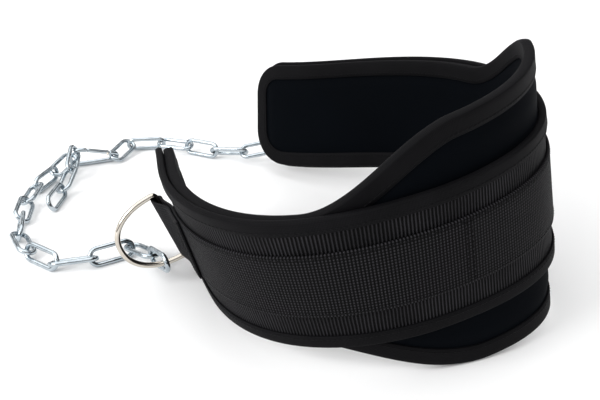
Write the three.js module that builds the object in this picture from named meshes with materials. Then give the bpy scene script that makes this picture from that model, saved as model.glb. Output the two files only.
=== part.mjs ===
// Dip belt: a contoured neoprene waist pad with an outer webbing band, a load strap,
// two D-rings and a loading chain closed by a spring hook.
// Millimetres, +Z up. The belt stands open on a floor at z = 0, its open side towards -X.
import * as THREE from 'three';

// Belt widths and thicknesses
const BELT_LENGTH = 792;
const BAND_WIDTH = 100;
const PAD_END_WIDTH = 95.2;
const LUMBAR_RISE = 42.2;
const LUMBAR_DROP = 45.9;
const TOP_CORNER_RADIUS = 28;
const BOTTOM_CORNER_RADIUS = 32;
const PAD_THICKNESS = 8;
const PAD_RIM_THICKNESS = 5;
const BAND_THICKNESS = 2.4;
const STRAP_WIDTH = 50;
const STRAP_RISE = 1.3;
const STRAP_THICKNESS = 2;
const PAD_BINDING_WIDTH = 12;
const BAND_BINDING_WIDTH = 9;
const BINDING_TAPE = 1.2;
const RIM_BULGE = 1.6;

// Clearances
const LAYER_GAP = 0.4;
const PIECE_GAP = 0.3;
const BACKED_SHARE = 0.7;
const GRIP_EASE = 1;

// Plan of the belt's mid-line: the turn in degrees that each place would give over the whole length
const START_HEADING = -69.3;
const BENDS = [
  { at: 0, turn: -220 },
  { at: 0.0833, turn: 89 },
  { at: 0.1667, turn: 287 },
  { at: 0.25, turn: 490 },
  { at: 0.3333, turn: 298 },
  { at: 0.4167, turn: 236 },
  { at: 0.5, turn: 562 },
  { at: 0.5833, turn: 170 },
  { at: 0.6667, turn: 262 },
  { at: 0.75, turn: 317 },
  { at: 0.8333, turn: 162 },
  { at: 0.9167, turn: -144 },
  { at: 1, turn: -410 },
];

// How far the upper edge leans outwards along the belt, in degrees
const FLARES = [
  { at: 0, lean: 3 },
  { at: 0.125, lean: 7.2 },
  { at: 0.25, lean: 8.8 },
  { at: 0.375, lean: 4.9 },
  { at: 0.5, lean: -0.6 },
  { at: 0.625, lean: 5.8 },
  { at: 0.75, lean: 12 },
  { at: 0.875, lean: 15.9 },
  { at: 1, lean: 14.8 },
];

// Lumbar part of the pad's outline: how far each edge keeps its full reach from the centre and where
// it has fallen back to the end width, as shares of the belt's length
const LUMBAR_CENTRE = 0.4947;
const LUMBAR_TOP = { reach: LUMBAR_RISE, flat: 0.09, fallen: 0.216 };
const LUMBAR_BOTTOM = { reach: LUMBAR_DROP, flat: 0.074, fallen: 0.252 };

// The belt leans back a little and, towards its open side, until its near end meets the floor
const LEAN_BACK = 1.9;
const MOST_LEAN = 30;

// D-rings and the strap's loops that hold them
const RING_WIRE = 4.5;
const RING_DEPTH = 42.6;
const RING_CORNER = 2.6;
const RING_SIDE_EASE = 0.7;
const RING_SQUARENESS = 2.2;
const RING_INSET = 57;
const RING_LIFT = 16.5;
const LOOP_RETURN = 48;
const LOOP_EASE = 26;
const NEAR_RING = { tip: 7, swing: 4.3, chainShare: 0.88 };
const FAR_RING = { tip: 4, swing: 60, chainShare: 0.68 };

// Chain links
const LINK_WIRE = 4.1;
const LINK_INSIDE = 33;
const LINK_WIDTH = 17.5;
const START_EASED_LINKS = 2;
// Runs of links: the number of the first, its roll, the links over which the run twists, and the play
const NEAR_STRAND = { first: 1, startRoll: 113, twistFrom: 6, twistTo: 10, play: 1.25 };
const FAR_STRAND = { first: 12, startRoll: 23, twistFrom: 1.5, twistTo: 4.5, play: 1.25 };
const TAIL_STRAND = { first: 19, startRoll: 113, twistFrom: 1, twistTo: 2, play: 0.6 };

// Spring hook
const HOOK_WIRE = 4.6;
const HOOK_LENGTH = 52;
const HOOK_WIDTH = 26;
const HOOK_EYE_WIDTH = 15;
const HOOK_ROLL = 117;
const HOOK_CLEARANCE = 0.1;
const HOOK_MIDDLE = { x: -111, y: 167, heading: 20.7 };
const GATE_WIRE = 4;
const GATE_PIVOT_SHARE = 0.2;
const GATE_NOSE_SHARE = 0.86;
const NEAR_STRAND_PLACE = 8;
const TAIL_PLACE = -48;

// Chain route on the floor from the belt's near end, chosen by hand: x and y, and z where it is lifted
const NEAR_ROUTE = [
  [-22, -31, 12],
  [-48, -12, 8],
  [-70, -38, 8],
  [-100, -46, 8],
  [-126, -27, 8],
  [-142, 1, 8],
  [-149, 33, 8],
  [-153, 67, 8.7],
  [-151, 99, 8.8],
  [-141, 130, 9],
];
const FAR_ROUTE = [
  [-84, 202, 8.6],
  [-53, 206, 8],
  [-23, 200, 8],
  [0, 178, 8.8],
  [24, 161, 11],
  [48, 171.3, 16.6],
];
const TAIL_ROUTE = [
  [-121, 115, 13],
  [-127, 84, 8],
  [-130, 47, 8],
];

// Mesh fineness
const PLAN_STEPS = 396;
const BODY_STATIONS = 40;
const CORNER_PLACES = [0, 0.05, 0.2];
const RING_STEPS = 18;
const RING_SIDES = 8;
const LINK_END_STEPS = 5;
const LINK_SIDES = 6;
const HOOK_END_STEPS = 8;
const HOOK_SIDES = 8;
const GATE_END_STEPS = 3;

// Values that follow from the sizes above
const HALF_BAND = BAND_WIDTH / 2;
const HALF_PAD_END = PAD_END_WIDTH / 2;
const HALF_STRAP = STRAP_WIDTH / 2;
const HALF_PAD = PAD_THICKNESS / 2;
const HALF_PAD_RIM = PAD_RIM_THICKNESS / 2;
const BINDING_OFFSET = PIECE_GAP + BINDING_TAPE;
const GRIP_WIDTH = PAD_BINDING_WIDTH + GRIP_EASE;
const BAND_LEVEL = HALF_PAD + LAYER_GAP + BAND_THICKNESS / 2 + BINDING_OFFSET;
const STRAP_LEVEL = BAND_LEVEL + BAND_THICKNESS / 2 + LAYER_GAP + STRAP_THICKNESS / 2;
const UPPER_STRAP_LEVEL = STRAP_LEVEL + STRAP_THICKNESS + LAYER_GAP;
const LOOP_RADIUS = RING_WIRE / 2 + PIECE_GAP + STRAP_THICKNESS / 2;
const RING_HALF_WIDTH = HALF_STRAP + RING_SIDE_EASE + RING_WIRE / 2;
const LINK_HALF_LENGTH = (LINK_INSIDE + LINK_WIRE) / 2;
const LINK_HALF_WIDTH = (LINK_WIDTH - LINK_WIRE) / 2;
const HOOK_WIDE_RADIUS = (HOOK_WIDTH - HOOK_WIRE) / 2;
const HOOK_EYE_RADIUS = (HOOK_EYE_WIDTH - HOOK_WIRE) / 2;

// Materials
function fabric(color, roughness) {
  return new THREE.MeshStandardMaterial({ color, roughness, metalness: 0 });
}

function metal(color, roughness) {
  return new THREE.MeshStandardMaterial({ color, roughness, metalness: 1 });
}

const NEOPRENE = fabric(0x14171c, 0.9);
const BINDING = fabric(0x121214, 0.85);
const WEBBING = fabric(0x1b1a1e, 0.8);
const STRAPPING = fabric(0x19181c, 0.8);
const NICKEL = metal(0xd9d2c6, 0.18);
const ZINC = metal(0xb9c3cc, 0.3);

// Small helpers
function radians(degrees) {
  return THREE.MathUtils.degToRad(degrees);
}

function easing(value) {
  return THREE.MathUtils.smoothstep(value, 0, 1);
}

function tableValue(table, column, at, curve) {
  const last = table.length - 1;
  let row = 0;
  while (row < last - 1 && at > table[row + 1].at) row += 1;
  const share = (at - table[row].at) / (table[row + 1].at - table[row].at);
  return THREE.MathUtils.lerp(table[row][column], table[row + 1][column], curve(share));
}

// Mid-line in plan, worked out step by step from the bends
function planOfBelt() {
  const steps = [{ heading: radians(START_HEADING), x: 0, y: 0 }];
  const step = 1 / PLAN_STEPS;
  for (let i = 0; i < PLAN_STEPS; i += 1) {
    const last = steps[i];
    const turn = radians(tableValue(BENDS, 'turn', (i + 0.5) * step, (share) => share));
    const middle = last.heading + (turn * step) / 2;
    steps.push({
      heading: last.heading + turn * step,
      x: last.x + Math.cos(middle) * step * BELT_LENGTH,
      y: last.y + Math.sin(middle) * step * BELT_LENGTH,
    });
  }
  return steps;
}

const PLAN = planOfBelt();

// Axes of the belt at a distance along it: along the belt, across it upwards, and outwards
function beltAxes(distance) {
  const share = THREE.MathUtils.clamp(distance / BELT_LENGTH, 0, 1);
  const place = Math.min(share * PLAN_STEPS, PLAN_STEPS - 1e-6);
  const index = Math.floor(place);
  const part = place - index;
  const heading = THREE.MathUtils.lerp(PLAN[index].heading, PLAN[index + 1].heading, part);
  const beyond = distance - share * BELT_LENGTH;
  const along = new THREE.Vector3(Math.cos(heading), Math.sin(heading), 0);
  const point = new THREE.Vector3(
    THREE.MathUtils.lerp(PLAN[index].x, PLAN[index + 1].x, part),
    THREE.MathUtils.lerp(PLAN[index].y, PLAN[index + 1].y, part),
    0,
  ).addScaledVector(along, beyond);
  const lean = radians(tableValue(FLARES, 'lean', share, easing));
  const level = new THREE.Vector3(Math.sin(heading), -Math.cos(heading), 0);
  const up = new THREE.Vector3(0, 0, Math.cos(lean)).addScaledVector(level, Math.sin(lean));
  const out = level.clone().multiplyScalar(Math.cos(lean)).add(new THREE.Vector3(0, 0, -Math.sin(lean)));
  return { point, along, up, out };
}

// Distances along the belt at which its layers have sections, closer in the rounded ends
function stations() {
  const list = CORNER_PLACES.map((share) => BOTTOM_CORNER_RADIUS * share);
  list.push(GRIP_WIDTH, TOP_CORNER_RADIUS);
  const ends = list.length;
  const middle = BELT_LENGTH - 2 * BOTTOM_CORNER_RADIUS;
  for (let i = 0; i <= BODY_STATIONS; i += 1) {
    list.push(BOTTOM_CORNER_RADIUS + (middle * i) / BODY_STATIONS);
  }
  for (let i = ends - 1; i >= 0; i -= 1) {
    list.push(BELT_LENGTH - list[i]);
  }
  return list;
}

const STATIONS = stations();

// A point of the belt from its distance along, its height across and its level outwards
function beltPoint(distance, across, level) {
  const axes = beltAxes(distance);
  return axes.point.addScaledVector(axes.up, across).addScaledVector(axes.out, level);
}

// Outline of the pad and the band: half width at a distance along, with rounded end corners
function lumbarShare(edge, distance) {
  const away = Math.abs(distance / BELT_LENGTH - LUMBAR_CENTRE);
  return 1 - easing((away - edge.flat) / (edge.fallen - edge.flat));
}

function cornerLoss(distance, radius) {
  const short = radius - Math.min(distance, BELT_LENGTH - distance);
  return short > 0 ? radius - Math.sqrt(Math.max(radius ** 2 - short ** 2, 0)) : 0;
}

function padTop(distance) {
  const loss = cornerLoss(distance, TOP_CORNER_RADIUS);
  return HALF_PAD_END + LUMBAR_RISE * lumbarShare(LUMBAR_TOP, distance) - loss;
}

function padBottom(distance) {
  const loss = cornerLoss(distance, BOTTOM_CORNER_RADIUS);
  return loss - HALF_PAD_END - LUMBAR_DROP * lumbarShare(LUMBAR_BOTTOM, distance);
}

function bandTop(distance) {
  return HALF_BAND - cornerLoss(distance, TOP_CORNER_RADIUS);
}

function bandBottom(distance) {
  return cornerLoss(distance, BOTTOM_CORNER_RADIUS) - HALF_BAND;
}

// A closed solid through sections that each have the same even number of points. An open run of
// sections is capped; a looped one joins its last section to its first.
function loft(sections, looped) {
  const size = sections[0].length;
  const positions = [];
  const triangle = (a, b, c) => positions.push(...a.toArray(), ...b.toArray(), ...c.toArray());
  const quad = (a, b, c, d) => {
    triangle(a, b, c);
    triangle(a, c, d);
  };
  const count = looped ? sections.length : sections.length - 1;
  for (let i = 0; i < count; i += 1) {
    const here = sections[i];
    const next = sections[(i + 1) % sections.length];
    for (let k = 0; k < size; k += 1) {
      const after = (k + 1) % size;
      quad(here[k], next[k], next[after], here[after]);
    }
  }
  if (!looped) {
    const first = sections[0];
    const last = sections[sections.length - 1];
    for (let k = 0; k < size / 2 - 1; k += 1) {
      const facing = size - 1 - k;
      quad(first[k], first[k + 1], first[facing - 1], first[facing]);
      quad(last[k], last[facing], last[facing - 1], last[k + 1]);
    }
  }
  const geometry = new THREE.BufferGeometry();
  geometry.setAttribute('position', new THREE.Float32BufferAttribute(positions, 3));
  geometry.computeVertexNormals();
  return geometry;
}

// Pad: full thickness inside, thinner along its rim where the binding grips it
function gripDepth(edge, radius, distance) {
  const short = radius - Math.min(distance, BELT_LENGTH - distance);
  if (short > 0) {
    const inner = radius - GRIP_WIDTH;
    return radius - Math.sqrt(Math.max(inner ** 2 - short ** 2, 0)) - cornerLoss(distance, radius);
  }
  const slope = edge(distance + 1) - edge(distance - 1);
  return GRIP_WIDTH * Math.hypot(1, slope / 2);
}

function padSection(distance) {
  const top = padTop(distance);
  const bottom = padBottom(distance);
  const topGrip = top - gripDepth(padTop, TOP_CORNER_RADIUS, distance);
  const bottomGrip = bottom + gripDepth(padBottom, BOTTOM_CORNER_RADIUS, distance);
  const fromEnd = Math.min(distance, BELT_LENGTH - distance);
  const fullHalf = THREE.MathUtils.lerp(HALF_PAD_RIM, HALF_PAD, easing((fromEnd - GRIP_WIDTH) / PAD_THICKNESS));
  const rows = [
    { across: bottom, half: HALF_PAD_RIM },
    { across: bottomGrip, half: HALF_PAD_RIM },
    { across: bottomGrip + HALF_PAD, half: fullHalf },
    { across: 0, half: fullHalf },
    { across: topGrip - HALF_PAD, half: fullHalf },
    { across: topGrip, half: HALF_PAD_RIM },
    { across: top, half: HALF_PAD_RIM },
  ];
  const backed = [-BACKED_SHARE, BACKED_SHARE].map((share) => {
    const grip = share > 0 ? topGrip : -bottomGrip;
    return { across: share * (grip - HALF_PAD), half: fullHalf };
  });
  const faced = [...rows, ...backed].sort((a, b) => a.across - b.across);
  const outer = faced.map((row) => beltPoint(distance, row.across, row.half));
  const inner = rows.map((row) => beltPoint(distance, row.across, -row.half));
  return outer.concat(inner.reverse());
}

function padGeometry() {
  return loft(STATIONS.map(padSection), false);
}

// Outer band: one even layer of webbing
const BAND_ROWS = [0, 0.25, 0.5, 0.75, 1];

function bandSection(distance) {
  const top = bandTop(distance);
  const bottom = bandBottom(distance);
  const layer = (side) => BAND_ROWS.map((share) => beltPoint(
    distance,
    THREE.MathUtils.lerp(bottom, top, share),
    BAND_LEVEL + (side * BAND_THICKNESS) / 2,
  ));
  return layer(1).concat(layer(-1).reverse());
}

function bandGeometry() {
  return loft(STATIONS.map(bandSection), false);
}

// Outline of a layer as a closed loop of places and outward directions, which lie straight across the
// belt except round its corners
function outline(topEdge, bottomEdge) {
  const places = STATIONS.map((distance) => new THREE.Vector2(distance, topEdge(distance)));
  const back = STATIONS.map((distance) => new THREE.Vector2(distance, bottomEdge(distance))).reverse();
  const loop = places.concat(back);
  return loop.map((place, i) => {
    const radius = i < places.length ? TOP_CORNER_RADIUS : BOTTOM_CORNER_RADIUS;
    const before = loop[(i + loop.length - 1) % loop.length];
    const after = loop[(i + 1) % loop.length];
    const arrive = place.clone().sub(before).normalize();
    const leave = after.clone().sub(place).normalize();
    const run = arrive.clone().add(leave).normalize();
    const rounded = Math.min(place.x, BELT_LENGTH - place.x) < radius;
    const normal = rounded
      ? new THREE.Vector2(-run.y, run.x).divideScalar(run.dot(leave))
      : new THREE.Vector2(0, 1 / run.x);
    return { place, normal };
  });
}

// Binding: a folded tape round a layer's edge, with a rounded rim
function bindingGeometry(topEdge, bottomEdge, level, halfLayer, width) {
  const inside = halfLayer + PIECE_GAP;
  const outside = inside + BINDING_TAPE;
  const profile = [
    { inset: width, level: outside },
    { inset: 0, level: outside },
    { inset: -RIM_BULGE, level: outside / 2 },
    { inset: -RIM_BULGE, level: -outside / 2 },
    { inset: 0, level: -outside },
    { inset: width, level: -outside },
    { inset: width, level: -inside },
    { inset: -PIECE_GAP, level: -inside },
    { inset: -PIECE_GAP, level: inside },
    { inset: width, level: inside },
  ];
  const sections = outline(topEdge, bottomEdge).map(({ place, normal }) => profile.map((point) => beltPoint(
    place.x - normal.x * point.inset,
    place.y - normal.y * point.inset,
    level + point.level,
  )));
  return loft(sections, true);
}

// Load strap: it runs on the band, wraps round each D-ring's bar and returns under itself
function loopRun(ring) {
  const run = [];
  const ease = (away) => 1 - easing(away / LOOP_EASE);
  const lowerRise = RING_LIFT - LOOP_RADIUS - STRAP_LEVEL;
  const upperRise = RING_LIFT + LOOP_RADIUS - UPPER_STRAP_LEVEL;
  const flats = [LOOP_RETURN, (LOOP_RETURN + LOOP_EASE) / 2, LOOP_EASE];
  const slopes = [0.8, 0.6, 0.4, 0.2].map((share) => share * LOOP_EASE);
  for (const away of flats.concat(slopes)) {
    run.push({ away, level: STRAP_LEVEL + lowerRise * ease(away), tip: ring.tip * ease(away) });
  }
  const turns = 7;
  for (let i = 0; i <= turns; i += 1) {
    const angle = Math.PI * (i / turns) - Math.PI / 2;
    run.push({
      away: -LOOP_RADIUS * Math.cos(angle),
      level: RING_LIFT + LOOP_RADIUS * Math.sin(angle),
      tip: ring.tip,
    });
  }
  for (const away of flats.concat(slopes).reverse()) {
    run.push({ away, level: UPPER_STRAP_LEVEL + upperRise * ease(away), tip: ring.tip * ease(away) });
  }
  run.push({ away: LOOP_RETURN + 2 * STRAP_THICKNESS, level: UPPER_STRAP_LEVEL, tip: 0 });
  return run;
}

function strapRun() {
  const near = loopRun(NEAR_RING).map((row) => ({ ...row, distance: RING_INSET + row.away }));
  const far = loopRun(FAR_RING).map((row) => ({ ...row, distance: BELT_LENGTH - RING_INSET - row.away }));
  const clear = RING_INSET + LOOP_RETURN + 6 * STRAP_THICKNESS;
  const middle = STATIONS.filter((distance) => distance > clear && distance < BELT_LENGTH - clear);
  return near.concat(
    middle.map((distance) => ({ distance, level: STRAP_LEVEL, tip: 0 })),
    far.reverse(),
  );
}

function strapGeometry() {
  const run = strapRun();
  const sections = run.map((row, i) => {
    const before = run[Math.max(i - 1, 0)];
    const after = run[Math.min(i + 1, run.length - 1)];
    const course = new THREE.Vector2(after.distance - before.distance, after.level - before.level);
    course.normalize();
    const corner = (side, edge) => {
      const across = STRAP_RISE + edge * HALF_STRAP * Math.cos(radians(row.tip));
      const rise = edge * HALF_STRAP * Math.sin(radians(row.tip));
      const distance = row.distance - course.y * side * (STRAP_THICKNESS / 2);
      const level = row.level + course.x * side * (STRAP_THICKNESS / 2);
      return beltPoint(distance, across, level + rise);
    };
    return [corner(1, -1), corner(1, 0), corner(1, 1), corner(-1, 1), corner(-1, 0), corner(-1, -1)];
  });
  return loft(sections, false);
}

// A round wire along a path of points that lies in one plane with the given normal
function wire(path, normal, diameter, sides, looped) {
  const sections = path.map((point, i) => {
    const before = looped ? path[(i + path.length - 1) % path.length] : path[Math.max(i - 1, 0)];
    const after = looped ? path[(i + 1) % path.length] : path[Math.min(i + 1, path.length - 1)];
    const arrive = point.clone().sub(before).normalize();
    const leave = after.clone().sub(point).normalize();
    const course = arrive.add(leave).normalize();
    const side = new THREE.Vector3().crossVectors(normal, course).normalize();
    const section = [];
    for (let k = 0; k < sides; k += 1) {
      const angle = (2 * Math.PI * (k + 0.5)) / sides;
      section.push(point.clone()
        .addScaledVector(side, (Math.cos(angle) * diameter) / 2)
        .addScaledVector(normal, (Math.sin(angle) * diameter) / 2));
    }
    return section.reverse();
  });
  return loft(sections, looped);
}

// D-ring: a straight bar in the strap's loop and a bow; its axes are the bar and the bow's depth
function ringAxes(inset, ring, end) {
  const axes = beltAxes(inset);
  const tip = radians(ring.tip);
  const swing = radians(ring.swing);
  const bar = axes.up.clone().multiplyScalar(Math.cos(tip)).addScaledVector(axes.out, Math.sin(tip));
  const away = axes.out.clone().multiplyScalar(Math.cos(tip)).addScaledVector(axes.up, -Math.sin(tip));
  const depth = away.clone().multiplyScalar(Math.cos(swing));
  depth.addScaledVector(axes.along, end * Math.sin(swing));
  const centre = beltPoint(inset, STRAP_RISE, RING_LIFT);
  return { centre, bar, depth, normal: new THREE.Vector3().crossVectors(bar, depth) };
}

function bowPoint(share) {
  const angle = Math.PI * share;
  const power = 2 / RING_SQUARENESS;
  const across = Math.cos(angle);
  return {
    across: RING_HALF_WIDTH * Math.sign(across) * Math.abs(across) ** power,
    depth: RING_CORNER + (RING_DEPTH - RING_CORNER) * Math.sin(angle) ** power,
  };
}

function ringPoint(axes, across, depth) {
  return axes.centre.clone().addScaledVector(axes.bar, across).addScaledVector(axes.depth, depth);
}

function ringGeometry(axes) {
  const flat = RING_HALF_WIDTH - RING_CORNER;
  const bend = RING_CORNER * (1 - Math.SQRT1_2);
  const path = [
    ringPoint(axes, 0, 0),
    ringPoint(axes, flat, 0),
    ringPoint(axes, RING_HALF_WIDTH - bend, bend),
  ];
  for (let i = 0; i <= RING_STEPS; i += 1) {
    const place = bowPoint(i / RING_STEPS);
    path.push(ringPoint(axes, place.across, place.depth));
  }
  path.push(ringPoint(axes, bend - RING_HALF_WIDTH, bend));
  path.push(ringPoint(axes, -flat, 0));
  return wire(path, axes.normal, RING_WIRE, RING_SIDES, true);
}

function ringHold(axes, ring) {
  const step = 0.01;
  const place = (share) => {
    const bow = bowPoint(share);
    return ringPoint(axes, bow.across, bow.depth);
  };
  const point = place(ring.chainShare);
  const tangent = place(ring.chainShare + step).sub(point).normalize();
  return { point, tangent, wire: RING_WIRE };
}

// Chain link: two straight sides and two round ends, along +X with its width along +Y
function linkGeometry() {
  const straight = LINK_HALF_LENGTH - LINK_HALF_WIDTH;
  const path = [];
  for (const end of [1, -1]) {
    for (let i = 0; i <= LINK_END_STEPS; i += 1) {
      const angle = Math.PI * (i / LINK_END_STEPS) - Math.PI / 2;
      path.push(new THREE.Vector3(
        end * (straight + LINK_HALF_WIDTH * Math.cos(angle)),
        end * LINK_HALF_WIDTH * Math.sin(angle),
        0,
      ));
    }
  }
  return wire(path, new THREE.Vector3(0, 0, 1), LINK_WIRE, LINK_SIDES, true);
}

// Moves the joints of a run of links over the floor until each pair of joints has its true spacing
function tightened(joints, spacings, endHeld) {
  const points = joints.map((point) => point.clone());
  const rounds = 400;
  for (let round = 0; round < rounds; round += 1) {
    for (let i = 1; i < points.length; i += 1) {
      const gap = points[i].clone().sub(points[i - 1]);
      gap.setLength((gap.length() - spacings[i - 1]) / 2).setZ(0);
      const held = endHeld && i === points.length - 1;
      if (i > 1) points[i - 1].add(gap);
      if (!held) points[i].sub(gap);
    }
  }
  return points;
}

// Width axis of a link along a course from its roll, 0 lying flat, and the roll of a width axis
function rolledWidth(course, roll) {
  const side = new THREE.Vector3(0, 0, 1).cross(course).normalize();
  const rise = course.clone().cross(side);
  return side.multiplyScalar(Math.cos(radians(roll))).addScaledVector(rise, Math.sin(radians(roll)));
}

function rollAcross(course, hold) {
  const width = hold.tangent.clone().cross(course);
  const flat = rolledWidth(course, 0);
  const upright = rolledWidth(course, 90);
  return THREE.MathUtils.radToDeg(Math.atan2(width.dot(upright), width.dot(flat)));
}

function halfTurnRemainder(degrees) {
  return degrees - 180 * Math.round(degrees / 180);
}

// Rolls of a run: a quarter turn from link to link. The first links ease from the roll that suits the
// start's wire, and the run twists along its straighter part to the roll that suits the end's wire.
function rollsOf(courses, run, start, end) {
  const last = courses.length - 1;
  const even = (i) => run.startRoll + (i % 2) * 90;
  const startEase = halfTurnRemainder(rollAcross(courses[0], start) - even(0));
  const endTwist = end ? halfTurnRemainder(rollAcross(courses[last], end) - even(last)) : 0;
  return courses.map((course, i) => {
    const started = Math.max(1 - i / START_EASED_LINKS, 0);
    const twisted = THREE.MathUtils.clamp((i - run.twistFrom) / (run.twistTo - run.twistFrom), 0, 1);
    return even(i) + startEase * started + endTwist * twisted;
  });
}

// How far a link's end reaches past each of its joints. The more upright link of a pair holds the
// joint in its wire, and the flatter one swings round that wire.
function reachesOf(rolls, run, start, end) {
  const steepness = rolls.map((roll) => Math.abs(Math.sin(radians(roll))));
  const past = (hold) => (hold.wire + LINK_WIRE) / 2 + run.play;
  const hooking = LINK_WIRE + run.play;
  return rolls.map((roll, i) => {
    const last = rolls.length - 1;
    const linkedBefore = i > 0 && steepness[i] > steepness[i - 1] ? 0 : hooking;
    const linkedAfter = i < last && steepness[i] < steepness[i + 1] ? hooking : 0;
    return {
      before: i === 0 ? past(start) : linkedBefore,
      after: i === last && end ? past(end) : linkedAfter,
    };
  });
}

// A run of links from one hold to another, or to its free end
function strand(run, route, start, end) {
  const passes = 4;
  let joints = route.map((place) => new THREE.Vector3(...place));
  joints.unshift(start.point);
  if (end) joints.push(end.point);
  let courses;
  let rolls;
  let reaches;
  for (let pass = 0; pass < passes; pass += 1) {
    courses = joints.slice(1).map((to, i) => to.clone().sub(joints[i]).normalize());
    rolls = rollsOf(courses, run, start, end);
    reaches = reachesOf(rolls, run, start, end);
    const spacings = reaches.map((reach) => 2 * LINK_HALF_LENGTH - reach.before - reach.after);
    joints = tightened(joints, spacings, Boolean(end));
  }
  return courses.map((course, i) => {
    const mesh = named(linkName(run.first + i), linkGeometry(), ZINC);
    const width = rolledWidth(course, rolls[i]);
    const basis = new THREE.Matrix4().makeBasis(course, width, course.clone().cross(width));
    mesh.quaternion.setFromRotationMatrix(basis);
    const from = joints[i].clone().addScaledVector(course, -reaches[i].before);
    const to = joints[i + 1].clone().addScaledVector(course, reaches[i].after);
    mesh.position.copy(from).add(to).multiplyScalar(0.5);
    return mesh;
  });
}

function linkName(number) {
  return `chain_link_${String(number).padStart(2, '0')}`;
}

function named(name, geometry, material) {
  const mesh = new THREE.Mesh(geometry, material);
  mesh.name = name;
  return mesh;
}

// Lean that lets the near end and the lumbar part meet the floor together
function leanTurn(lean) {
  const upright = new THREE.Vector3(0, 0, 1);
  const leaned = new THREE.Vector3(-Math.tan(radians(lean)), Math.tan(radians(LEAN_BACK)), 1);
  return new THREE.Quaternion().setFromUnitVectors(upright, leaned.normalize());
}

function rimPlaces() {
  const padRim = outline(padTop, padBottom).map((row) => ({ ...row, level: 0, half: HALF_PAD_RIM }));
  const bandRim = outline(bandTop, bandBottom).map((row) => (
    { ...row, level: BAND_LEVEL, half: BAND_THICKNESS / 2 }
  ));
  return padRim.concat(bandRim);
}

function lowestPoint(turn, from, to) {
  let lowest = Infinity;
  for (const { place, normal, level, half } of rimPlaces()) {
    if (place.x < from * BELT_LENGTH || place.x > to * BELT_LENGTH) continue;
    const rim = place.clone().addScaledVector(normal, RIM_BULGE);
    for (const side of [-1, 1]) {
      const face = side * (half + BINDING_OFFSET);
      const corner = beltPoint(place.x, place.y, level + face).applyQuaternion(turn);
      const bulge = beltPoint(rim.x, rim.y, level + face / 2).applyQuaternion(turn);
      lowest = Math.min(lowest, corner.z, bulge.z);
    }
  }
  return lowest;
}

function restingLean() {
  let low = 0;
  let high = MOST_LEAN;
  const halvings = 40;
  for (let i = 0; i < halvings; i += 1) {
    const lean = (low + high) / 2;
    const turn = leanTurn(lean);
    const nearIsLower = lowestPoint(turn, 0, LUMBAR_CENTRE / 2) < lowestPoint(turn, LUMBAR_CENTRE / 2, 1);
    if (nearIsLower) high = lean;
    else low = lean;
  }
  return (low + high) / 2;
}

// Spring hook: a pear of wire from its nose, round the wide end, along its closed side and round its
// eye to the gate's pivot. Its length runs along +X from the wide end, with the gate on the +Y side.
function hookOutline() {
  const wide = { centre: HOOK_WIDE_RADIUS, radius: HOOK_WIDE_RADIUS };
  const eye = { centre: HOOK_LENGTH - HOOK_WIRE - HOOK_EYE_RADIUS, radius: HOOK_EYE_RADIUS };
  const taper = Math.asin((wide.radius - eye.radius) / (eye.centre - wide.centre));
  return { wide, eye, taper };
}

function hookPoint(end, angle) {
  return new THREE.Vector3(end.centre + end.radius * Math.cos(angle), end.radius * Math.sin(angle), 0);
}

function gateSidePoint(share) {
  const { wide, eye, taper } = hookOutline();
  const angle = Math.PI / 2 - taper;
  return hookPoint(eye, angle).lerp(hookPoint(wide, angle), share);
}

function hookGeometry() {
  const { wide, eye, taper } = hookOutline();
  const gateSide = gateSidePoint(1).sub(gateSidePoint(0)).normalize();
  const clear = GATE_WIRE / 2 + PIECE_GAP;
  const path = [gateSidePoint(GATE_NOSE_SHARE).addScaledVector(gateSide, clear)];
  const wideTurn = Math.PI + 2 * taper;
  for (let i = 0; i <= HOOK_END_STEPS; i += 1) {
    path.push(hookPoint(wide, Math.PI / 2 - taper + wideTurn * (i / HOOK_END_STEPS)));
  }
  const eyeTurn = Math.PI - 2 * taper;
  for (let i = 0; i <= HOOK_END_STEPS; i += 1) {
    path.push(hookPoint(eye, taper - Math.PI / 2 + eyeTurn * (i / HOOK_END_STEPS)));
  }
  path.push(gateSidePoint(GATE_PIVOT_SHARE).addScaledVector(gateSide, -clear));
  return wire(path, new THREE.Vector3(0, 0, 1), HOOK_WIRE, HOOK_SIDES, false);
}

// Gate: a rod with round ends from the pivot to the nose
function gateGeometry() {
  const pivot = gateSidePoint(GATE_PIVOT_SHARE);
  const nose = gateSidePoint(GATE_NOSE_SHARE);
  const length = pivot.distanceTo(nose);
  const geometry = new THREE.CapsuleGeometry(GATE_WIRE / 2, length, GATE_END_STEPS, HOOK_SIDES);
  const turn = new THREE.Quaternion().setFromUnitVectors(
    new THREE.Vector3(0, 1, 0),
    nose.clone().sub(pivot).normalize(),
  );
  geometry.applyQuaternion(turn);
  const middle = pivot.add(nose).multiplyScalar(0.5);
  geometry.translate(...middle.toArray());
  return geometry;
}

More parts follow.
